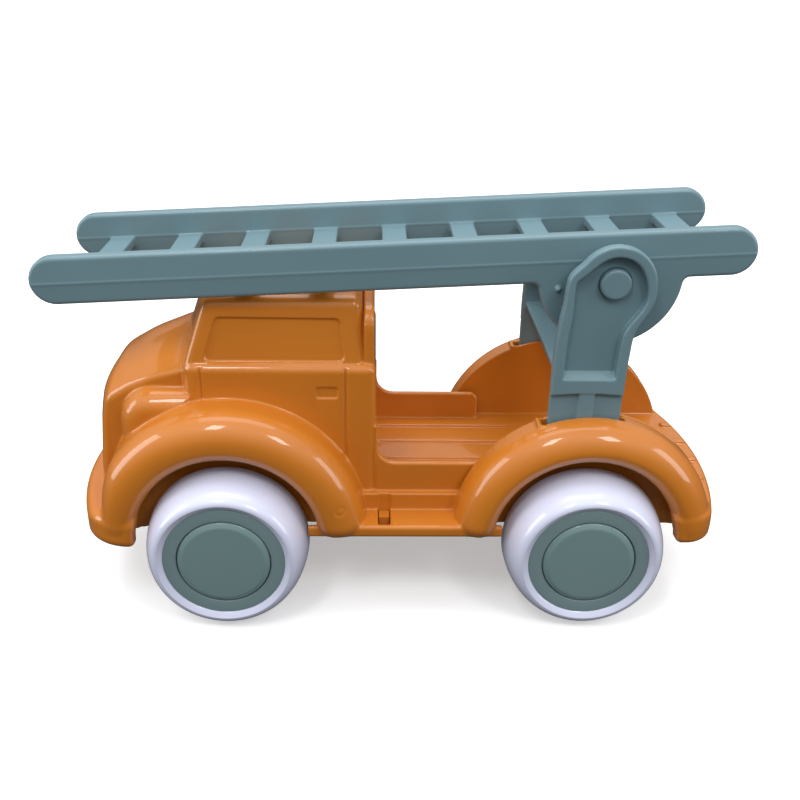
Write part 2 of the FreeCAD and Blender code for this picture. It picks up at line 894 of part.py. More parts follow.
def wheel_part(label, end, side, corners):
    """A piece of one wheel, turned about the axle; corners are (distance from Y = 0, radius)."""
    body = new_body(label)
    sign = SIDES[side]
    section = []
    for corner in corners if sign > 0 else reversed_corners(corners):
        spot = (f"{sign} * ({corner[0]})", f"Sheet.axle_height + {corner[1]}")
        section.append(spot + tuple(corner[2:]))
    profile = ring_profile(body, "section", f"Sheet.{end}_axle", section)
    revolve(body, "turned", profile, "Sheet.axle_height", "360")
    return body


def reversed_corners(corners):
    """The same outline the other way round, with each arc's radius moved to its new start."""
    count = len(corners)
    result = []
    for i in range(count - 1, -1, -1):
        spot = corners[i][:2]
        arc = corners[(i - 1) % count][2:]
        result.append(tuple(spot) + tuple(arc))
    return result


def make_tyre(end, side):
    return wheel_part(
        f"{end}_{side}_tyre",
        end,
        side,
        [
            ("Sheet.tyre_inner", "Sheet.rim_barrel"),
            ("Sheet.rim_face - Sheet.rim_flange", "Sheet.rim_barrel"),
            ("Sheet.rim_face - Sheet.rim_flange", "Sheet.rim_radius"),
            ("Sheet.tyre_outer - 0.8", "Sheet.rim_radius"),
            ("Sheet.tyre_outer", "Sheet.rim_radius + 1"),
            ("Sheet.tyre_outer", "Sheet.tyre_radius - Sheet.tyre_shoulder + 1", "Sheet.tyre_shoulder"),
            ("Sheet.tyre_outer - Sheet.tyre_shoulder + 1", "Sheet.tyre_radius"),
            ("Sheet.tyre_inner + Sheet.tyre_back_shoulder", "Sheet.tyre_radius", "Sheet.tyre_back_shoulder"),
            ("Sheet.tyre_inner", "Sheet.tyre_radius - Sheet.tyre_back_shoulder"),
        ],
    )


def make_rim(end, side):
    return wheel_part(
        f"{end}_{side}_hub",
        end,
        side,
        [
            ("Sheet.rim_back", "Sheet.axle_radius"),
            ("Sheet.axle_end", "Sheet.axle_radius"),
            ("Sheet.axle_end", "0"),
            ("Sheet.cap_face - Sheet.cap_depth", "0"),
            ("Sheet.cap_face - Sheet.cap_depth", "Sheet.cap_radius"),
            ("Sheet.rim_face", "Sheet.cap_radius"),
            ("Sheet.rim_face", "Sheet.rim_radius"),
            ("Sheet.rim_face - Sheet.rim_flange", "Sheet.rim_radius"),
            ("Sheet.rim_face - Sheet.rim_flange", "Sheet.rim_barrel"),
            ("Sheet.rim_back", "Sheet.rim_barrel"),
            ("Sheet.rim_back", "Sheet.rim_bore"),
            ("Sheet.axle_end - Sheet.rim_web", "Sheet.rim_bore"),
            ("Sheet.axle_end - Sheet.rim_web", "Sheet.rim_boss"),
            ("Sheet.rim_back", "Sheet.rim_boss"),
        ],
    )


def make_cap(end, side):
    return wheel_part(
        f"{end}_{side}_hub_cap",
        end,
        side,
        [
            ("Sheet.cap_face - Sheet.cap_depth", "0"),
            ("Sheet.cap_face", "0"),
            ("Sheet.cap_face", "Sheet.cap_radius - Sheet.cap_round", "-Sheet.cap_round"),
            ("Sheet.cap_face - Sheet.cap_round", "Sheet.cap_radius"),
            ("Sheet.cap_face - Sheet.cap_depth", "Sheet.cap_radius"),
        ],
    )


def make_bracket():
    """The fork that carries the ladder: two dished arms joined by a cross plate."""
    body = new_body("ladder_bracket")
    outer = "Sheet.arm_inner + Sheet.arm_thickness"
    head = "Sheet.arm_head"
    arm = [
        ("Sheet.foot_front", "Sheet.foot_bottom"),
        ("Sheet.foot_rear", "Sheet.foot_bottom"),
        ("Sheet.foot_rear", "Sheet.foot_step"),
        ("Sheet.pivot_x + 8.8", "125"),
        (f"Sheet.pivot_x + {head} * 0.966", f"Sheet.pivot_z - {head} * 0.259", head),
        (f"Sheet.pivot_x - {head} * 0.906", f"Sheet.pivot_z + {head} * 0.423"),
        ("63", "126"),
    ]
    arms = outline(body, "arm_side", "XZ_Plane", arm)
    pad(body, "arms", arms, f"2 * ({outer})", midplane=True)
    block(
        body,
        "gap_above",
        ("40", "-Sheet.arm_inner", "Sheet.cross_top"),
        ("120", "Sheet.arm_inner", "200"),
        cutting=True,
    )
    block(
        body,
        "gap_below",
        ("40", "-Sheet.arm_inner", "40"),
        ("120", "Sheet.arm_inner", "Sheet.cross_top - Sheet.cross_thickness"),
        cutting=True,
    )
    rim = "Sheet.arm_rim"
    pocket = [
        ("68", "Sheet.pocket_bottom"),
        ("88", "Sheet.pocket_bottom"),
        ("Sheet.pivot_x + 5.2", "126"),
        (
            f"Sheet.pivot_x + ({head} - {rim}) * 0.966",
            f"Sheet.pivot_z - ({head} - {rim}) * 0.259",
            f"{head} - {rim}",
        ),
        (
            f"Sheet.pivot_x - ({head} - {rim}) * 0.906",
            f"Sheet.pivot_z + ({head} - {rim}) * 0.423",
        ),
        ("68.2", "126"),
    ]
    for side, sign in SIDES.items():
        face = f"{-sign} * ({outer})"
        dish = outline(body, f"{side}_dish_outline", "XZ_Plane", pocket, offset=face)
        cut_away(
            body,
            f"{side}_dish",
            dish,
            "Sheet.arm_thickness - Sheet.arm_web",
            backwards=sign > 0,
        )
    for name, front, rear in (
        ("front", "Sheet.foot_front - 1", "Sheet.foot_rib_front"),
        ("rear", "Sheet.foot_rib_rear", "Sheet.foot_rear + 1"),
    ):
        mirrored_blocks(
            body,
            f"{name}_foot_recess",
            (front, f"{outer} - Sheet.foot_recess", "Sheet.foot_bottom - 1"),
            (rear, f"{outer} + 1", "Sheet.foot_step"),
            cutting=True,
        )
    cylinder_across(
        body,
        "pivot_holes",
        "Sheet.pivot_x",
        "Sheet.pivot_z",
        "-60",
        "120",
        "Sheet.trunnion_radius + Sheet.trunnion_gap",
        cutting=True,
    )
    return body


def make_ladder():
    """The ladder with its cheeks and trunnions, drawn level about the pivot and then tilted."""
    body = new_body("ladder")
    half = "Sheet.rail_height / 2"
    middle = "Sheet.ladder_middle"
    rail = [
        (f"Sheet.ladder_front + {half}", f"{middle} - {half}"),
        (f"Sheet.ladder_rear - {half}", f"{middle} - {half}", half),
        (f"Sheet.ladder_rear - {half}", f"{middle} + {half}"),
        (f"Sheet.ladder_front + {half}", f"{middle} + {half}", half),
    ]
    rails = outline(body, "rail_side", "XZ_Plane", rail)
    pad(body, "rails", rails, "2 * Sheet.rail_outer", midplane=True)
    cylinder_across(
        body,
        "cheeks",
        "0",
        "0",
        "-Sheet.rail_outer",
        "2 * Sheet.rail_outer",
        "Sheet.cheek_radius",
    )
    block(
        body,
        "cheek_top_trim",
        ("-40", "-40", f"{middle} + {half}"),
        ("40", "40", "60"),
        cutting=True,
    )
    inner = "Sheet.rail_outer - Sheet.rail_thickness"
    gap_top = "Sheet.rung_top"
    gap_bottom = "Sheet.rung_top - Sheet.rung_thickness"
    long_low = f"-({inner})"
    block(
        body,
        "gap_above_rungs",
        ("Sheet.ladder_front - 5", long_low, gap_top),
        ("Sheet.ladder_rear + 5", inner, "60"),
        cutting=True,
    )
    block(
        body,
        "gap_below_rungs",
        ("Sheet.ladder_front - 5", long_low, "-60"),
        ("Sheet.ladder_rear + 5", inner, gap_bottom),
        cutting=True,
    )
    for number in range(RUNG_COUNT + 1):
        front = f"Sheet.rung_first + {number - 1} * Sheet.rung_pitch + Sheet.rung_width / 2"
        rear = f"Sheet.rung_first + {number} * Sheet.rung_pitch - Sheet.rung_width / 2"
        if number == 0:
            front = "Sheet.ladder_front - 5"
        if number == RUNG_COUNT:
            rear = "Sheet.ladder_rear + 5"
        block(
            body,
            f"rung_space_{number}",
            (front, long_low, f"{gap_bottom} - 1"),
            (rear, inner, f"{gap_top} + 1"),
            cutting=True,
        )
    for side, sign in SIDES.items():
        start = "-Sheet.trunnion_end" if sign < 0 else "Sheet.rail_outer - 1"
        length = "Sheet.trunnion_end - Sheet.rail_outer + 1"
        cylinder_across(body, f"{side}_trunnion", "0", "0", start, length, "Sheet.trunnion_radius")
        nub_start = "-(Sheet.rail_outer + 1.2)" if sign < 0 else "Sheet.rail_outer - 1"
        cylinder_across(
            body,
            f"{side}_nub",
            "-Sheet.nub_back",
            "-Sheet.nub_drop",
            nub_start,
            "2.2",
            "Sheet.nub_radius",
        )
    body.Placement = FreeCAD.Placement(
        FreeCAD.Vector(dim("pivot_x"), 0, dim("pivot_z")),
        FreeCAD.Rotation(FreeCAD.Vector(0, 1, 0), -dim("ladder_tilt")),
    )
    bind(
        body,
        Placement__Base__x="Sheet.pivot_x",
        Placement__Base__z="Sheet.pivot_z",
    )
    return body


def check_document():
    """Stop if any object failed to compute."""
    for item in doc.Objects:
        bad = {"Invalid", "Error"} & set(item.State)
        if bad:
            raise ValueError(f"{item.Label}: {item.State}")


def write_parts(parts):
    os.makedirs("parts", exist_ok=True)
    for part in parts:
        shape = part.Shape
        if shape.isNull() or not shape.isValid() or len(shape.Solids) != 1:
            raise ValueError(f"{part.Label}: bad shape with {len(shape.Solids)} solids")
        print(f"{part.Label}: {shape.Volume / 1000:.2f} cm3, {shape.BoundBox}")
        shape.exportStep(f"parts/{part.Label}.step")


parts = [make_body_shell(), make_chassis_plate(), make_bracket(), make_ladder()]
for end in ("front", "rear"):
    parts.append(make_axle(end))
    for side in SIDES:
        parts.append(make_tyre(end, side))
        parts.append(make_rim(end, side))
        parts.append(make_cap(end, side))
doc.recompute()
check_document()
write_parts(parts)
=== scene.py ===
"""Looks of the toy ladder truck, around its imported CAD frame. Shapes are drawn in millimetres."""
import json
import math

import bmesh
import bpy
import numpy as np
from mathutils import Matrix, Vector


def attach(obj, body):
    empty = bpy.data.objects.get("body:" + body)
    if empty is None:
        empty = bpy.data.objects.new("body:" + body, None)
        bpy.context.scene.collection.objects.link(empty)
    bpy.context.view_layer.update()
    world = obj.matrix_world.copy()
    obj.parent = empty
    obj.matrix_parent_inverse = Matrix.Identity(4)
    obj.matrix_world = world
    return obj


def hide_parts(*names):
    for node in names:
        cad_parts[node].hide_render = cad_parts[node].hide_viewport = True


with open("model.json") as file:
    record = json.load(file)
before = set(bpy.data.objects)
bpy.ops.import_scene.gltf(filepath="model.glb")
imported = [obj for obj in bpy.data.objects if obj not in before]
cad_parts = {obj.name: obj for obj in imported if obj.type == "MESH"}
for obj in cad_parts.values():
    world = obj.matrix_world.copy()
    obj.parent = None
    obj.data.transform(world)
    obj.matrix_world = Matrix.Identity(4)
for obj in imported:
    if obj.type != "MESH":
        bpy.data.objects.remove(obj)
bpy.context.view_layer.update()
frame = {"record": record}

MM = 0.001
MESH_STEP = {"body": 0.7, "fine": 0.55}
BODY_FACES = 190000
FINE_FACES = 120000

# where the moving parts turn, from the frame, in millimetres
JOINTS = {joint["name"]: joint for joint in frame["record"]["behaviour"]["joints"]}
PIVOT = [1000 * c for c in JOINTS["ladder_tilt"]["pos_m"]]
AXLE = {
    "front": [1000 * c for c in JOINTS["front_axle_spin"]["pos_m"]],
    "rear": [1000 * c for c in JOINTS["rear_axle_spin"]["pos_m"]],
}
LADDER_TILT = math.radians(3.2)


# ---------------------------------------------------------------- distance fields

def join(a, b, radius=0.0):
    """Union of two fields, with a concave fillet where they meet."""
    if np.isscalar(radius) and radius == 0:
        return np.minimum(a, b)
    bend = np.hypot(np.maximum(radius - a, 0), np.maximum(radius - b, 0))
    return np.maximum(radius, np.minimum(a, b)) - bend


def meet(a, b, radius=0.0):
    """Intersection of two fields, with a rounded edge."""
    if np.isscalar(radius) and radius == 0:
        return np.maximum(a, b)
    bend = np.hypot(np.maximum(radius + a, 0), np.maximum(radius + b, 0))
    return np.minimum(-radius, np.maximum(a, b)) + bend


def cut(a, b, radius=0.0):
    """Field a with b taken away, the new edge rounded."""
    return meet(a, -b, radius)


def span(u, low, high):
    """Distance outside the slab between two planes."""
    return np.maximum(low - u, u - high)


def slope(u, v, start, end):
    """Signed distance to the right of the line from start to end."""
    du = end[0] - start[0]
    dv = end[1] - start[1]
    size = math.hypot(du, dv)
    return ((u - start[0]) * dv - (v - start[1]) * du) / size


def polygon(u, v, corners):
    """Signed distance to a closed outline, negative inside."""
    nearest = np.float32(1e9)
    inside = False
    for (ax, ay), (bx, by) in zip(corners, corners[1:] + corners[:1]):
        ex = bx - ax
        ey = by - ay
        wx = u - ax
        wy = v - ay
        along = np.clip((wx * ex + wy * ey) / (ex * ex + ey * ey), 0, 1)
        nearest = np.minimum(nearest, (wx - ex * along) ** 2 + (wy - ey * along) ** 2)
        crossing = (ay > v) != (by > v)
        if by != ay:
            inside = inside ^ (crossing & (u < ex * (v - ay) / (by - ay) + ax))
    return np.where(inside, -1, 1) * np.sqrt(nearest)


def rounded(corners, radius, steps=6):
    """An outline with its corners as arcs; radius is one number or one for each corner."""
    result = []
    count = len(corners)
    radii = radius if isinstance(radius, (list, tuple)) else [radius] * count
    for i, corner in enumerate(corners):
        here = Vector(corner)
        back = Vector(corners[i - 1]) - here
        ahead = Vector(corners[(i + 1) % count]) - here
        if radii[i] == 0:
            result.append(tuple(here))
            continue
        half = back.angle(ahead) / 2
        reach = min(radii[i] / math.tan(half), 0.49 * back.length, 0.49 * ahead.length)
        size = reach * math.tan(half)
        start = here + back.normalized() * reach
        end = here + ahead.normalized() * reach
        middle = (back.normalized() + ahead.normalized()).normalized()
        centre = here + middle * size / math.sin(half)
        first = math.atan2(start.y - centre.y, start.x - centre.x)
        turn = math.atan2(end.y - centre.y, end.x - centre.x) - first
        turn = (turn + math.pi) % (2 * math.pi) - math.pi
        for k in range(steps + 1):
            angle = first + turn * k / steps
            result.append((centre.x + size * math.cos(angle), centre.y + size * math.sin(angle)))
    return result


def grid(low, high, step):
    """Sparse sample coordinates of a box, whose planes include the coordinate 0."""
    axes = []
    for axis in range(3):
        first = math.floor(low[axis] / step) - 2
        last = math.ceil(high[axis] / step) + 2
        axes.append(np.arange(first, last + 1, dtype=np.float32) * np.float32(step))
    return np.meshgrid(*axes, indexing="ij", sparse=True)


def surface_nets(field, origin, step):
    """Vertices and quads where a sampled field changes sign: one vertex for each crossed cell."""
    inside = field < 0
    nx, ny, nz = (n - 1 for n in field.shape)
    corners = [(i, j, k) for i in (0, 1) for j in (0, 1) for k in (0, 1)]
    count = np.zeros((nx, ny, nz), np.uint8)
    for i, j, k in corners:
        count += inside[i : nx + i, j : ny + j, k : nz + k]
    cells = np.argwhere((count > 0) & (count < 8))
    index = np.full(count.shape, -1, np.int32)
    index[tuple(cells.T)] = np.arange(len(cells))
    at = np.empty((len(cells), 2, 2, 2), np.float32)
    for i, j, k in corners:
        at[:, i, j, k] = field[cells[:, 0] + i, cells[:, 1] + j, cells[:, 2] + k]
    total = np.zeros((len(cells), 3), np.float32)
    hits = np.zeros((len(cells), 1), np.float32)
    for axis in range(3):
        for low in corners:
            if low[axis]:
                continue
            high = tuple(1 if a == axis else low[a] for a in range(3))
            start = at[(slice(None), *low)]
            end = at[(slice(None), *high)]
            crossed = (start < 0) != (end < 0)
            spot = np.tile(np.array(low, np.float32), (len(cells), 1))
            spot[:, axis] = start / np.where(crossed, start - end, 1)
            total += spot * crossed[:, None]
            hits += crossed[:, None]
    local = total / hits
    for _ in range(2):
        wx, wy, wz = (np.stack((1 - c, c), 1) for c in local.T)
        value = np.einsum("nijk,ni,nj,nk->n", at, wx, wy, wz)
        gradient = np.stack(
            (
                np.einsum("njk,nj,nk->n", at[:, 1] - at[:, 0], wy, wz),
                np.einsum("nik,ni,nk->n", at[:, :, 1] - at[:, :, 0], wx, wz),
                np.einsum("nij,ni,nj->n", at[..., 1] - at[..., 0], wx, wy),
            ),
            1,
        )
        size = np.maximum((gradient**2).sum(1), 1e-12)
        local = np.clip(local - (value / size)[:, None] * gradient, 0, 1)
    points = (cells + local) * step + np.array(origin)
    quads = []
    for axis in range(3):
        others = [a for a in range(3) if a != axis]
        near = [slice(None)] * 3
        far = [slice(None)] * 3
        near[axis] = slice(0, -1)
        far[axis] = slice(1, None)
        where = np.argwhere(inside[tuple(near)] != inside[tuple(far)])
        outward = inside[tuple(where.T)]
        if axis == 1:
            outward = ~outward
        rings = []
        for du, dv in ((-1, -1), (0, -1), (0, 0), (-1, 0)):
            cell = where.copy()
            cell[:, others[0]] += du
            cell[:, others[1]] += dv
            rings.append(index[tuple(cell.T)])
        quad = np.stack(rings, 1)
        quad[~outward] = quad[~outward][:, ::-1]
        quads.append(quad)
    return points, np.concatenate(quads)


def sample(field, origin, step, points):
    """Trilinear values of a sampled field at points."""
    place = (points - np.array(origin)) / step
    base = np.clip(np.floor(place).astype(int), 0, np.array(field.shape) - 2)
    part = place - base
    result = 0
    for i in (0, 1):
        for j in (0, 1):
            for k in (0, 1):
                weight = 1
                for axis, bit in enumerate((i, j, k)):
                    weight = weight * (part[:, axis] if bit else 1 - part[:, axis])
                result = result + weight * field[base[:, 0] + i, base[:, 1] + j, base[:, 2] + k]
    return result


def gradients(field, origin, step, points, reach):
    """Unit gradients of a sampled field, which are the surface's normals."""
    result = np.empty_like(points)
    for axis in range(3):
        shift = np.zeros(3)
        shift[axis] = reach
        ahead = sample(field, origin, step, points + shift)
        result[:, axis] = ahead - sample(field, origin, step, points - shift)
    return result / np.maximum(np.linalg.norm(result, axis=1)[:, None], 1e-9)


def field_piece(name, field, axes, step, faces, matrix=Matrix()):
    """A field's surface as a mesh of about so many triangles, with the field's own normals."""
    origin = [float(a.flat[0]) for a in axes]
    points, quads = surface_nets(field, origin, step)
    mesh = bpy.data.meshes.new(name)
    mesh.from_pydata([], [], [])
    mesh.vertices.add(len(points))
    mesh.vertices.foreach_set("co", points.astype(np.float32).ravel())
    mesh.loops.add(quads.size)
    mesh.loops.foreach_set("vertex_index", quads.astype(np.int32).ravel())
    mesh.polygons.add(len(quads))
    mesh.polygons.foreach_set("loop_start", np.arange(0, quads.size, 4, dtype=np.int32))
    mesh.update(calc_edges=True)
    piece = bpy.data.objects.new(name, mesh)
    bpy.context.scene.collection.objects.link(piece)
    if 2 * len(quads) > faces:
        thin = piece.modifiers.new("thin", "DECIMATE")
        thin.ratio = faces / (2 * len(quads))
        apply_modifiers(piece)
    mesh = piece.data
    spots = np.empty(3 * len(mesh.vertices), np.float32)
    mesh.vertices.foreach_get("co", spots)
    spots = spots.reshape(-1, 3).astype(float)
    normals = gradients(field, origin, step, spots, 0.6 * step)
    turn = np.array(matrix.to_3x3())
    spots = (spots @ turn.T + np.array(matrix.translation)) * MM
    mesh.vertices.foreach_set("co", spots.astype(np.float32).ravel())
    mesh.update()
    mesh.shade_smooth()
    mesh.normals_split_custom_set_from_vertices((normals @ turn.T).tolist())
    return piece


def apply_modifiers(piece):
    """Keep the mesh that a piece's modifiers give, and drop the modifiers."""
    depsgraph = bpy.context.evaluated_depsgraph_get()
    mesh = bpy.data.meshes.new_from_object(piece.evaluated_get(depsgraph))
    piece.modifiers.clear()
    piece.data = mesh


def mirrored(half):
    """A field over both sides of Y = 0, from its samples at Y >= 0."""
    return np.concatenate((half[:, :0:-1, :], half), axis=1)


def mirrored_axes(axes):
    """The sample coordinates that go with a mirrored field."""
    y = axes[1].ravel()
    both = np.concatenate((-y[:0:-1], y)).reshape(1, -1, 1)
    return axes[0], both, axes[2]


# ---------------------------------------------------------------- the moulded body

WALL = 2.6
CAB_HALF = 36.0
CAB_FRONT = -84.6
CAB_REAR = -6.6
BELT = 106.7
ROOF = 133.6
SKIRT = 36.6
FLOOR = 50.0
SILL_TOP = 42.5
BED_REAR = 43.0
WELL_FACE = 40.6
INNER_HALF = 33.4
HOOD_HALF = 29.8
HOOD_BOW = 150.0
POD_HALF = 39.0
FENDER_HEIGHT = 35.3
FENDER_HALF = 57.0
FENDER_ROUND = 12.0
FRONT_FENDER = 57.0
REAR_FENDER = 54.0
ARCH_HEIGHT = 35.5
ARCH_RADIUS = 37.5
BUMPER_FRONT = -133.4
BUMPER_BOW = 127.0
STEP_REAR = 141.2
STEP_BOW = 155.0
END_HALF = 56.8
BED_GROOVES = (8.0, 24.0)
TREADS = (8.5, 25.5)
TREAD_INSET = 2.8
TREAD_HALF = 1.7
TREAD_RISE = 1.4
GATE_MARK = (-20.7, 51.8)
GATE_RADIUS = 1.8
DOOR_GROOVES = ((-76.5, 90.0), (-18.8, 60.0))
GROOVE_DEPTH = 0.8
PANE_DEPTH = 0.9
HANDLE_DEPTH = 0.6
BED_GROOVE_HALF = 1.1
BED_GROOVE_DEPTH = 1.2
NOSE_START = -84.0
NOSE_LENGTH = 33.0
HOOD_CROWN = 82.0
NOSE_CROWN = 50.0
GLASS_BOW = 5.0
LIP_ROUND = 6.5
HEM_ROUND = 7.5
ARCH_ROUND = 2.5
BUMPER_LOW = 33.4
BUMPER_TOP = 47.2
BUMPER_ROUND = 4.2
STEP_FRONT = 112.0
STEP_ROUND = 3.0
SEAM_CENTRE = 39.9
SEAM_HALF = 0.55
SEAM_DEPTH = 1.3

# radii of the mouldings' crisp edges and of the fillets where walls meet
EDGE = 0.3
FILLET = 0.8


def hood_field(x, y, z):
    """The crowned hood with a chamfer along each side, and its bowed front."""
    bow = y**2 / HOOD_BOW
    forward = np.clip((NOSE_START - x) / NOSE_LENGTH, 0, 1)
    crown = y**2 / (HOOD_CROWN + NOSE_CROWN * forward)
    crest = rounded(
        [
            (-60, 20),
            (-60, 121.0),
            (-86.0, 114.0),
            (-102.8, 106.9),
            (-113.6, 100.4),
            (-133.2, 84.8),
            (-150, 20),
        ],
        [0, 0, 10, 60, 30, 0, 0],
    )
    front = rounded(
        [
            (-60, 0),
            (-60, 150),
            (-111.0, 150),
            (-120.4, 98.0),
            (-124.4, 78.0),
            (-126.8, 54.0),
            (-127.4, 0),
        ],
        [0, 0, 0, 30, 60, 60, 0],
    )
    top = polygon(x - bow, z + crown, crest)
    face = polygon(x - bow, z, front)
    side = y - HOOD_HALF + 2.5 * forward**2 + 0.03 * np.clip(90.0 - z, 0, 50) * forward
    hood = meet(top, side, 0.7 + 1.5 * forward)
    return meet(hood, face, 2.0 + 7.0 * np.clip(1 - y / 26.0, 0, 1))


def cab_field(x, y, z):
    """The cab below the belt, the glazed part above it, and that part's side."""
    outline = [(CAB_FRONT, -60), (CAB_REAR, -60), (CAB_REAR, CAB_HALF), (CAB_FRONT, CAB_HALF)]
    plan = polygon(x, y, rounded(outline, [0, 0, 3, 7]))
    lower = meet(plan, z - BELT, 3.4)
    bend = GLASS_BOW * (1 - np.minimum(y / 35.0, 1) ** 2)
    glass = slope(x + bend, z, (-73.0, 131.8), (-82.7, 105.1))
    side = slope(y, z, (33.7, 105.0), (29.8, 134.0))
    back = slope(x, z, (-11.0, 105.0), (-12.4, 134.0))
    upper = meet(glass, side, 3.0)
    upper = meet(upper, back, 4.0)
    upper = meet(upper, z - ROOF, 4.5)
    upper = np.maximum(upper, 104.0 - z)
    return lower, upper, side


def cab_details(cab, x, y, z, side):
    """The cab with its sunk side window, the grooves beside the door and the handle's recess."""
    window = rounded([(-69.6, 125.1), (-21.0, 124.8), (-19.0, 107.4), (-75.5, 107.0)], 2.2)
    pane = polygon(x, z, window)
    cab = cut(cab, np.maximum(pane, -(side + PANE_DEPTH)), 0.35)
    skin = y - CAB_HALF
    for groove, low in DOOR_GROOVES:
        line = np.maximum(np.abs(x - groove) - 0.6, span(z, low, BELT + 3.0))
        cab = cut(cab, np.maximum(line, -(skin + GROOVE_DEPTH)), 0.5)
    outline = rounded([(-30.4, 92.8), (-21.8, 92.8), (-21.8, 97.3), (-30.4, 97.3)], 0.8)
    handle = polygon(x, z, outline)
    return cut(cab, np.maximum(handle, -(skin + HANDLE_DEPTH)), EDGE)


def fender_field(x, y, z, centre, radius, front_limit, round_off):
    """A tube-like arch over a wheel: the outside, and the space that it covers."""
    away = np.hypot(x - centre, z - FENDER_HEIGHT) - radius
    away = meet(away, front_limit - x, round_off)
    lip = np.hypot(x - centre, z - ARCH_HEIGHT)
    whole = meet(away, y - FENDER_HALF, FENDER_ROUND)
    outside = meet(meet(whole, ARCH_RADIUS - lip, LIP_ROUND), SKIRT - z, HEM_ROUND)
    inner_wall = np.maximum(np.maximum(whole, y - WELL_FACE), SKIRT + 0.2 - z)
    well = np.maximum(np.maximum(outside + WALL, whole + WALL), WELL_FACE - y)
    behind_lip = np.maximum(np.maximum(lip - 45.5, y - 50.5), WELL_FACE - y)
    return join(outside, inner_wall), join(well, behind_lip)


def clear_arch(solid, x, y, z, centre):
    """The end of a bumper or step, rounded off where the wheel arch passes through it."""
    arch = np.maximum(np.hypot(x - centre, z - ARCH_HEIGHT) - ARCH_RADIUS, WELL_FACE - y)
    return cut(solid, arch, ARCH_ROUND)


def bumper_field(x, y, z):
    """The bowed bumper, open at the back."""
    bow = np.hypot(x - BUMPER_FRONT - BUMPER_BOW, y) - BUMPER_BOW
    plan = meet(bow, y - END_HALF, 12.0)
    plan = np.maximum(plan, x + 100.0)
    solid = meet(plan, span(z, BUMPER_LOW, BUMPER_TOP), BUMPER_ROUND)
    return clear_arch(solid, x, y, z, AXLE["front"][0])


def step_bow(x, y):
    """The rear step's bowed edge, in plan."""
    return np.hypot(x - STEP_REAR + STEP_BOW, y) - STEP_BOW


def step_field(x, y, z):
    """The rear step, level with the bed."""
    plan = meet(step_bow(x, y), y - END_HALF, 8.0)
    plan = np.maximum(plan, STEP_FRONT - x)
    solid = meet(plan, span(z, SKIRT, FLOOR), STEP_ROUND)
    return clear_arch(solid, x, y, z, AXLE["rear"][0])


def cab_and_nose(x, y, z):
    """The cab joined to the hood and its lamp pods."""
    lower, upper, side = cab_field(x, y, z)
    cab = cab_details(join(lower, upper, 0.4), x, y, z, side)
    cab = np.maximum(cab, SKIRT - z)
    hood = np.maximum(hood_field(x, y, z), SKIRT - z)
    outline = [(-110.4, 45.0), (-80.0, 45.0), (-80.0, 94.3), (-110.4, 94.3)]
    pods = polygon(x, z, rounded(outline, [0, 0, 0, 13]))
    pods = meet(pods, y - POD_HALF, 8.0)
    return join(cab, join(hood, pods, 1.2), 0.6)


def bed_parts(rear, x, y, z):
    """The rear fenders and step with the bed's floor and walls and the sill added."""
    floor = np.maximum(span(z, SKIRT + 0.8, FLOOR), np.maximum(y - 39.0, span(x, -12.0, 130.0)))
    rear = join(rear, floor, FILLET)
    outline = [
        (-6.9, 44.0),
        (BED_REAR, 44.0),
        (BED_REAR, 63.2),
        (-6.0, 63.2),
        (-6.0, 80.0),
        (-6.9, 80.0),
    ]
    walls = polygon(x, z, rounded(outline, [0, 0, 4.0, 8.0, 0, 0]))
    walls = meet(walls, span(y, 33.0, CAB_HALF), 1.1)
    rear = join(rear, walls, 0.6)
    sill = meet(span(z, 37.2, SILL_TOP), y - 52.8, 1.6)
    sill = np.maximum(sill, span(x, -34.0, 46.0))
    return join(rear, sill, FILLET)


def floor_relief(body, x, y, z):
    """The body with grooves along the bed and tread ribs on the step."""
    for row in BED_GROOVES:
        groove = np.maximum(np.abs(y - row) - BED_GROOVE_HALF, span(x, -5.0, 122.0))
        depth = span(z, FLOOR - BED_GROOVE_DEPTH, FLOOR + 5)
        body = cut(body, np.maximum(groove, depth), 0.5)
    for row in TREADS:
        length = np.maximum(131.5 - x, step_bow(x, y) + TREAD_INSET)
        rib = meet(np.abs(y - row) - TREAD_HALF, length, FILLET)
        rib = meet(rib, span(z, 45.0, FLOOR + TREAD_RISE), EDGE)
        body = join(body, rib, EDGE)
    return body


def openings(body, x, y, z):
    """The body with the bracket's sockets, the gate mark and the latch holes."""
    socket = meet(span(x, 58.0, 95.2), span(y, 38.0, 46.3), FILLET)
    body = join(body, np.maximum(socket, span(z, 76.0, 86.0)))
    slot = np.maximum(span(x, 60.0, 93.2), span(y, 39.3, 44.3))
    body = cut(body, np.maximum(slot, 78.0 - z), 0.35)
    mark = np.abs(np.hypot(x - GATE_MARK[0], z - GATE_MARK[1]) - GATE_RADIUS) - 0.3
    body = cut(body, np.maximum(np.maximum(mark, 50.0 - y), -0.25 - body), 0.2)
    latch = np.maximum(span(x, -5.2, -0.3), span(y, 38.3, 50.3))
    return cut(body, np.maximum(latch, span(z, 30.0, 60.0)), EDGE)


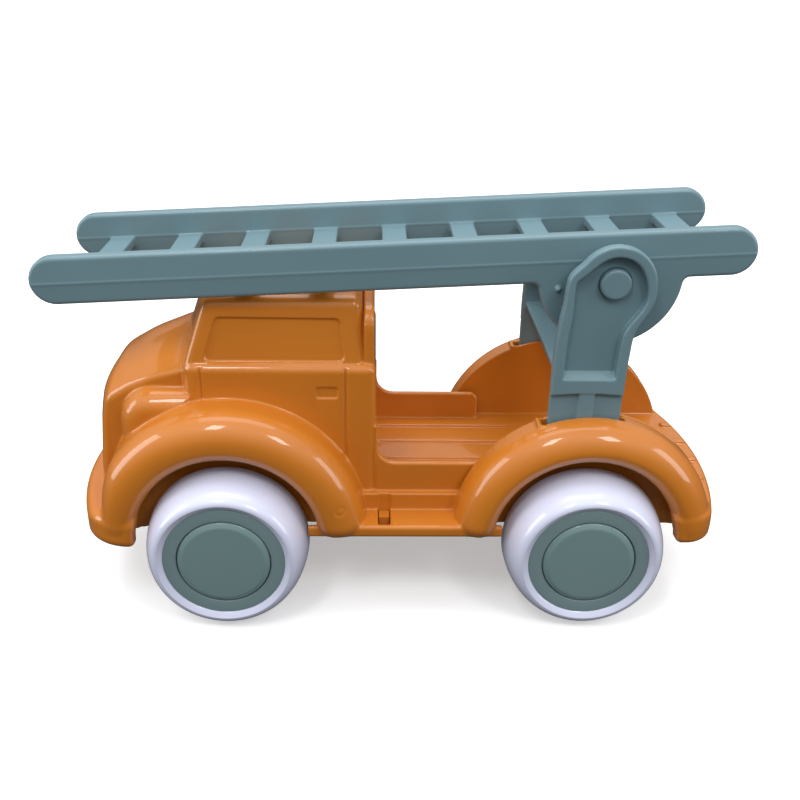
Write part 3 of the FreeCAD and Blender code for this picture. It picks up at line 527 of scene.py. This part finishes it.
def shell_field(x, y, z):
    """The body as one moulded shell; y is never negative."""
    front_out, front_well = fender_field(x, y, z, AXLE["front"][0], FRONT_FENDER, -120.5, 10.0)
    rear_out, rear_well = fender_field(x, y, z, AXLE["rear"][0], REAR_FENDER, 0.0, 1.0)
    rear_out = meet(rear_out, 38.0 - y, 0.6)
    crest = np.hypot(x - AXLE["rear"][0], z - FENDER_HEIGHT) - REAR_FENDER
    seam = np.maximum(span(x, 92.0, 116.0), -SEAM_DEPTH - crest)
    seam = np.maximum(np.abs(y - SEAM_CENTRE) - SEAM_HALF, seam)
    rear_out = cut(rear_out, seam, EDGE)
    body = cab_and_nose(x, y, z)
    body = join(body, np.maximum(front_out, 10.0 - y), FILLET)
    body = join(body, bumper_field(x, y, z), 1.0)
    rear = bed_parts(join(rear_out, step_field(x, y, z), 1.0), x, y, z)
    body = join(body, rear, FILLET)
    outline = rounded([(-50, 100.0), (33.0, 100.0), (33.0, 129.6), (-50, 129.6)], [0, 0, 9, 0])
    plate = polygon(y, z, outline)
    body = join(body, meet(plate, span(x, -11.4, -7.2), 1.0), FILLET)
    body = floor_relief(body, x, y, z)
    body = cut(body, shell_hollow(body, x, y, z, front_well, rear_well), 0.5)
    return openings(body, x, y, z)


def shell_hollow(body, x, y, z, front_well, rear_well):
    """What is empty under the moulding."""
    cab = np.maximum(span(x, -80.0, -13.0), y - INNER_HALF)
    cab = np.maximum(cab, z - 128.0)
    nose = np.maximum(span(x, -127.0, -78.0), y - 26.0)
    bed = np.maximum(span(x, -13.0, 134.0), y - INNER_HALF)
    bed = np.maximum(bed, z - (FLOOR - WALL))
    sill = np.maximum(span(x, -8.0, 24.0), np.maximum(span(y, 36.2, 50.3), z - (SILL_TOP - 2.4)))
    space = join(join(cab, nose), join(bed, sill))
    space = np.maximum(space, body + WALL)
    return join(join(space, front_well), rear_well)


def half_meshed(name, field, low, high, detail, faces, matrix=Matrix()):
    """A piece that is symmetric about Y = 0, from a field that is sampled on one side of it."""
    step = MESH_STEP[detail]
    x, y, z = grid(low, high, step)
    y = y[:, 2:, :]
    half = field(x, y, z).astype(np.float32)
    return field_piece(name, mirrored(half), mirrored_axes((x, y, z)), step, faces, matrix)


# ---------------------------------------------------------------- ladder and bracket

RAIL_FRONT = -222.0
RAIL_REAR = 55.5
RAIL_CENTRE = 31.8
RAIL_MIDDLE = 8.48
RAIL_HALF = 9.4
RAIL_HALF_THICKNESS = 3.5
PARTING = 7.5
CHEEK_RADIUS = 28.0
RUNG_COUNT = 9
RUNG_FIRST = -201.5
RUNG_PITCH = 29.8
RUNG_HALF = 5.25
RUNG_DEPTH = 4.0
PIN_RADIUS = 6.0
HOLE_RADIUS = 6.15
HEAD_RADIUS = 15.3
ARM_INNER = 39.3
ARM_OUTER = 44.3


def ladder_field(x, y, z):
    """The ladder lying level, its pivot at the origin."""
    length = (RAIL_REAR - RAIL_FRONT) / 2 - RAIL_HALF
    centre = (RAIL_REAR + RAIL_FRONT) / 2
    side = np.hypot(np.maximum(np.abs(x - centre) - length, 0), z - RAIL_MIDDLE) - RAIL_HALF
    cheek = np.maximum(np.hypot(x, z) - CHEEK_RADIUS, z - RAIL_MIDDLE)
    side = join(side, cheek, 2.5)
    from_parting = np.abs(z - PARTING)
    draft = 0.045 * from_parting - 0.3 * np.clip(1 - from_parting / 0.5, 0, 1)
    rails = meet(side, np.abs(y - RAIL_CENTRE) - RAIL_HALF_THICKNESS + draft, 1.5)
    rungs = np.float32(1e9)
    for number in range(RUNG_COUNT):
        middle = RUNG_FIRST + RUNG_PITCH * number
        width = np.abs(x - middle) - RUNG_HALF + 0.06 * (PARTING - z)
        bar = meet(width, span(z, PARTING - RUNG_DEPTH, PARTING), 0.5)
        rungs = np.minimum(rungs, bar)
    rungs = np.maximum(rungs, y - RAIL_CENTRE + 1.1)
    ladder = join(rails, rungs, 0.6)
    pin = meet(np.hypot(x, z) - PIN_RADIUS, y - 43.2, 1.1)
    pin = np.maximum(pin, RAIL_CENTRE - y)
    ladder = join(ladder, pin, 0.5)
    face = y - RAIL_CENTRE - RAIL_HALF_THICKNESS
    nub = np.sqrt((x + 20.5) ** 2 + (z + 3.0) ** 2 + face**2) - 1.2
    return join(ladder, nub, EDGE)


def bracket_field(x, y, z):
    """The fork that carries the ladder; y is never negative."""
    px, pz = PIVOT[0], PIVOT[2]
    head = np.hypot(x - px, z - pz) - HEAD_RADIUS
    stem = rounded(
        [
            (62.6, 78.0),
            (91.2, 78.0),
            (91.7, 112.0),
            (92.4, 124.0),
            (px + 15.0, pz - 2.0),
            (px, pz + 2.0),
            (px - 15.2, pz + 4.0),
            (66.2, 146.0),
            (62.9, 126.0),
            (62.4, 108.0),
        ],
        [1.5, 1.5, 60, 30, 12, 0, 30, 60, 120, 90],
        steps=10,
    )
    arm = join(head, polygon(x, z, stem), 6.0)
    pocket = meet(arm + 4.3, 105.4 + 0.7 * np.maximum(43.8 - y, 0) - z, 0.8)
    pocket = np.maximum(pocket, 40.7 - y)
    bracket = meet(arm, span(y, ARM_INNER, ARM_OUTER), 1.0)
    bracket = cut(bracket, pocket, 0.7)
    step = 98.3 + 0.8 * (1 - ((x - 77.0) / 14.0) ** 2)
    rib = meet(span(x, 73.7, 80.1), y - (ARM_OUTER - 0.3), 0.5)
    recess = np.maximum(ARM_OUTER - 1.6 - y, z - step)
    bracket = cut(bracket, cut(recess, rib, EDGE), EDGE)
    plate = meet(span(z, 104.7, 107.3), span(x, 64.2, 91.4), 0.7)
    bracket = join(bracket, np.maximum(plate, y - ARM_INNER - 0.5), FILLET)
    hole = np.hypot(x - px, z - pz) - HOLE_RADIUS
    return cut(bracket, np.maximum(hole, 30.0 - y), EDGE)


def finish_piece(piece, material, body, node):
    """The material of a piece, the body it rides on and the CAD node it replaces."""
    dress(piece, material)
    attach(piece, body)
    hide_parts(node)


def make_body():
    low, high = (-134.5, 0, 32.5), (140.5, 58, 135)
    piece = half_meshed("moulded_body", shell_field, low, high, "body", BODY_FACES)
    finish_piece(piece, ORANGE, "truck", "body_shell")


def make_ladder():
    matrix = Matrix.Translation(Vector(PIVOT)) @ Matrix.Rotation(-LADDER_TILT, 4, "Y")
    low, high = (-224, 0, -29), (57, 44, 19)
    piece = half_meshed("ladder_moulding", ladder_field, low, high, "fine", FINE_FACES, matrix)
    finish_piece(piece, BLUE, "ladder", "ladder")


def make_bracket():
    low, high = (60, 0, 77), (101, 45, 160)
    piece = half_meshed("fork_bracket", bracket_field, low, high, "fine", FINE_FACES)
    finish_piece(piece, BLUE, "truck", "ladder_bracket")


# ---------------------------------------------------------------- wheels

def lathe(name, profile, centre, sign, segments=144):
    """A closed ring turned about a wheel's axis; the profile is (distance from Y = 0, radius)."""
    angles = [2 * math.pi * k / segments for k in range(segments)]
    verts = []
    for angle in angles:
        for across, radius in profile:
            verts.append(
                (
                    (centre[0] + radius * math.cos(angle)) * MM,
                    sign * across * MM,
                    (centre[2] + radius * math.sin(angle)) * MM,
                )
            )
    count = len(profile)
    faces = []
    for k in range(segments):
        here = k * count
        there = ((k + 1) % segments) * count
        for i in range(count):
            j = (i + 1) % count
            faces.append((here + i, here + j, there + j, there + i))
    mesh = bpy.data.meshes.new(name)
    mesh.from_pydata(verts, [], faces)
    work = bmesh.new()
    work.from_mesh(mesh)
    bmesh.ops.remove_doubles(work, verts=work.verts, dist=1e-7)
    bmesh.ops.recalc_face_normals(work, faces=work.faces)
    work.to_mesh(mesh)
    work.free()
    mesh.shade_smooth()
    mesh.set_sharp_from_angle(angle=math.radians(32))
    piece = bpy.data.objects.new(name, mesh)
    bpy.context.scene.collection.objects.link(piece)
    return piece


def half_ellipse(centre, size, first, last, parts):
    """Points of an ellipse in a wheel's section, counted in parts of half a turn."""
    angles = [k * math.pi / parts for k in range(first, last + 1)]
    return [
        (centre[0] + size[0] * math.cos(a), centre[1] + size[1] * math.sin(a)) for a in angles
    ]


def make_wheel(end, side):
    """A tyre, a hub and a cap, each one ring about the axle."""
    centre = AXLE[end]
    sign = -1 if side == "left" else 1
    crown = half_ellipse((46, 26.8), (20, 6.5), 0, 20, 40)
    back = half_ellipse((46, 28.3), (3, 5), 12, 24, 24)
    seat = [(43, 20), (61.6, 20), (61.6, 24.5), (64.3, 24.5), (64.8, 24.9), (65.6, 26.2)]
    tyre = seat + crown + back
    hub = rounded(
        [
            (45, 2),
            (63, 2),
            (63, 19),
            (64.6, 19.05),
            (64.6, 24.5),
            (61.6, 24.5),
            (61.6, 20),
            (45, 20),
            (45, 17.5),
            (59.4, 17.5),
            (59.4, 5.5),
            (45, 5.5),
        ],
        [0, 0, 0, 0.35, 0.4, 0, 0, 0.3, 0.3, 0, 0, 0.3],
        steps=4,
    )
    cap = [(63, 0), (65.6, 0), (65.6, 16.6), (64.6, 18.4), (63, 19)]
    cap = rounded(cap, [0, 0, 2.2, 1.0, 0], steps=8)
    for kind, profile, material, slot in (
        ("tyre", tyre, WHITE, "white_tyre"),
        ("hub", hub, TEAL, "hub_teal"),
        ("hub_cap", cap, CAP, "cap_teal"),
    ):
        node = f"{end}_{side}_{kind}"
        piece = lathe(f"{node}_look", profile, centre, sign)
        finish_piece(piece, material, f"{end}_wheelset", node)


# ---------------------------------------------------------------- materials

COLOUR_DRIFT_SCALE = 18.0
FLOW_MARK_SCALE = 45.0
GLOSS_DRIFT = 0.05
PEEL_SCALE = 900.0
PEEL_STRENGTH = 0.02
PEEL_HEIGHT = 0.0004


def new_material(name):
    """A node material and the parts of it that are used."""
    material = bpy.data.materials.new(name)
    material.use_nodes = True
    nodes = material.node_tree.nodes
    return material, nodes, material.node_tree.links, nodes["Principled BSDF"]


def plastic(name, colour, deep, roughness, coat=0.8, level=0.35):
    """Moulded plastic: colour that drifts a little, faint flow marks, fine orange-peel bump."""
    material, nodes, links, shader = new_material(name)
    place = nodes.new("ShaderNodeTexCoord")
    drift = nodes.new("ShaderNodeTexNoise")
    drift.inputs["Scale"].default_value = COLOUR_DRIFT_SCALE
    drift.inputs["Detail"].default_value = 3.0
    links.new(place.outputs["Object"], drift.inputs["Vector"])
    ramp = nodes.new("ShaderNodeValToRGB")
    ramp.color_ramp.elements[0].position = 0.3
    ramp.color_ramp.elements[0].color = (*deep, 1)
    ramp.color_ramp.elements[1].position = 0.7
    ramp.color_ramp.elements[1].color = (*colour, 1)
    links.new(drift.outputs["Fac"], ramp.inputs["Fac"])
    links.new(ramp.outputs["Color"], shader.inputs["Base Color"])
    smear = nodes.new("ShaderNodeTexNoise")
    smear.inputs["Scale"].default_value = FLOW_MARK_SCALE
    smear.inputs["Detail"].default_value = 5.0
    links.new(place.outputs["Object"], smear.inputs["Vector"])
    rough = nodes.new("ShaderNodeMapRange")
    rough.inputs["To Min"].default_value = roughness - GLOSS_DRIFT
    rough.inputs["To Max"].default_value = roughness + GLOSS_DRIFT
    links.new(smear.outputs["Fac"], rough.inputs["Value"])
    links.new(rough.outputs["Result"], shader.inputs["Roughness"])
    peel = nodes.new("ShaderNodeTexNoise")
    peel.inputs["Scale"].default_value = PEEL_SCALE
    links.new(place.outputs["Object"], peel.inputs["Vector"])
    relief = nodes.new("ShaderNodeBump")
    relief.inputs["Strength"].default_value = PEEL_STRENGTH
    relief.inputs["Distance"].default_value = PEEL_HEIGHT
    links.new(peel.outputs["Fac"], relief.inputs["Height"])
    links.new(relief.outputs["Normal"], shader.inputs["Normal"])
    shader.inputs["Coat Weight"].default_value = coat
    shader.inputs["Coat Roughness"].default_value = 0.07
    shader.inputs["Specular IOR Level"].default_value = level
    shader.inputs["IOR"].default_value = 1.5
    return material


ORANGE = plastic("orange_plastic", (0.64, 0.205, 0.016), (0.61, 0.190, 0.013), 0.42)
BLUE = plastic(
    "ladder_plastic", (0.172, 0.282, 0.325), (0.162, 0.267, 0.308), 0.42, coat=0.3
)
WHITE = plastic("tyre_plastic", (0.72, 0.75, 0.93), (0.69, 0.72, 0.91), 0.35)
TEAL = plastic("hub_plastic", (0.215, 0.310, 0.325), (0.202, 0.295, 0.310), 0.45, coat=0.2)
CAP = plastic("cap_plastic", (0.195, 0.300, 0.305), (0.185, 0.287, 0.292), 0.42, coat=0.5)
STEEL = plastic("axle_steel", (0.62, 0.62, 0.63), (0.55, 0.55, 0.56), 0.28, coat=0.0, level=0.5)
STEEL.node_tree.nodes["Principled BSDF"].inputs["Metallic"].default_value = 1.0


def dress(piece, material):
    piece.data.materials.clear()
    piece.data.materials.append(material)


def paint_nodes():
    """Materials of the CAD nodes that stay as they are."""
    paints = {"chassis_plate": ORANGE, "front_axle": STEEL, "rear_axle": STEEL}
    for node, material in paints.items():
        for place in bpy.data.objects[node].material_slots:
            place.material = material


# ---------------------------------------------------------------- stage

CAMERA_PLACE = (-7.797, -379.531, 255.756)
CAMERA_PITCH = 0.444
CAMERA_YAW = -0.032
CAMERA_ROLL = -0.02
FOCAL_SHARE = 943.769 / 800
SENSOR = 36.0

FLOOR_HALF = 20
FLOOR_GLOW = 0.35
SKY_LOW = 0.08
SKY_HIGH = 1.02
LAMP_TARGET = (0, 0, 0.06)

# name, place and size in metres, and radiance
LAMPS = (
    ("window_left", (-0.37, -0.81, 1.34), (0.24, 0.40), 13.5),
    ("window_right", (0.48, -0.70, 0.88), (0.20, 0.28), 11.5),
    ("panel_right", (1.10, -0.35, 0.38), (0.35, 0.60), 4.5),
    ("panel_left", (-1.10, -0.20, 0.45), (0.40, 0.80), 5.0),
    ("panel_top", (0.0, 0.25, 1.30), (1.20, 0.80), 2.1),
)


def make_camera():
    """The camera: ahead is turned by yaw and pitch, then the frame rolls about it."""
    ahead = Vector(
        (
            -math.sin(CAMERA_YAW) * math.cos(CAMERA_PITCH),
            math.cos(CAMERA_YAW) * math.cos(CAMERA_PITCH),
            -math.sin(CAMERA_PITCH),
        )
    )
    right = Vector((math.cos(CAMERA_YAW), math.sin(CAMERA_YAW), 0))
    up = right.cross(ahead)
    tilted_right = math.cos(CAMERA_ROLL) * right - math.sin(CAMERA_ROLL) * up
    tilted_up = math.sin(CAMERA_ROLL) * right + math.cos(CAMERA_ROLL) * up
    camera = bpy.data.objects.new("camera", bpy.data.cameras.new("camera"))
    turn = Matrix((tilted_right, tilted_up, -ahead)).transposed().to_4x4()
    camera.matrix_world = Matrix.Translation(Vector(CAMERA_PLACE) * MM) @ turn
    camera.data.sensor_width = SENSOR
    camera.data.lens = SENSOR * FOCAL_SHARE
    camera.data.clip_start = 0.01
    bpy.context.scene.collection.objects.link(camera)
    bpy.context.scene.camera = camera


def make_light(name, place, size, radiance):
    """A rectangular lamp that faces the truck."""
    light = bpy.data.lights.new(name, "AREA")
    light.shape = "RECTANGLE"
    light.size, light.size_y = size
    light.energy = radiance * math.pi * size[0] * size[1]
    lamp = bpy.data.objects.new(name, light)
    lamp.location = place
    lamp.rotation_euler = (Vector(LAMP_TARGET) - Vector(place)).to_track_quat("-Z", "Y").to_euler()
    bpy.context.scene.collection.objects.link(lamp)


def make_stage():
    """A pale floor, soft lamps and an even sky."""
    mesh = bpy.data.meshes.new("floor")
    corners = [(-1, -1), (1, -1), (1, 1), (-1, 1)]
    mesh.from_pydata([(FLOOR_HALF * x, FLOOR_HALF * y, 0) for x, y in corners], [], [(0, 1, 2, 3)])
    floor = bpy.data.objects.new("floor", mesh)
    bpy.context.scene.collection.objects.link(floor)
    material, _, _, shader = new_material("floor_white")
    shader.inputs["Base Color"].default_value = (0.9, 0.9, 0.9, 1)
    shader.inputs["Roughness"].default_value = 0.9
    shader.inputs["Specular IOR Level"].default_value = 0.1
    shader.inputs["Emission Color"].default_value = (1, 1, 1, 1)
    shader.inputs["Emission Strength"].default_value = FLOOR_GLOW
    mesh.materials.append(material)
    floor.visible_diffuse = False
    floor.visible_glossy = False
    world = bpy.data.worlds.new("sky")
    bpy.context.scene.world = world
    world.use_nodes = True
    nodes = world.node_tree.nodes
    links = world.node_tree.links
    place = nodes.new("ShaderNodeTexCoord")
    split = nodes.new("ShaderNodeSeparateXYZ")
    links.new(place.outputs["Generated"], split.inputs["Vector"])
    fade = nodes.new("ShaderNodeMapRange")
    fade.inputs["From Min"].default_value = 0.0
    fade.inputs["From Max"].default_value = 0.8
    fade.inputs["To Min"].default_value = SKY_LOW
    fade.inputs["To Max"].default_value = SKY_HIGH
    links.new(split.outputs["Z"], fade.inputs["Value"])
    links.new(fade.outputs["Result"], nodes["Background"].inputs["Strength"])
    nodes["Background"].inputs["Color"].default_value = (1, 1, 1, 1)
    for lamp in LAMPS:
        make_light(*lamp)
    bpy.context.scene.view_settings.view_transform = "Standard"


make_camera()
make_stage()
make_body()
make_ladder()
make_bracket()
for end in ("front", "rear"):
    for side in ("left", "right"):
        make_wheel(end, side)
paint_nodes()

bpy.context.view_layer.update()
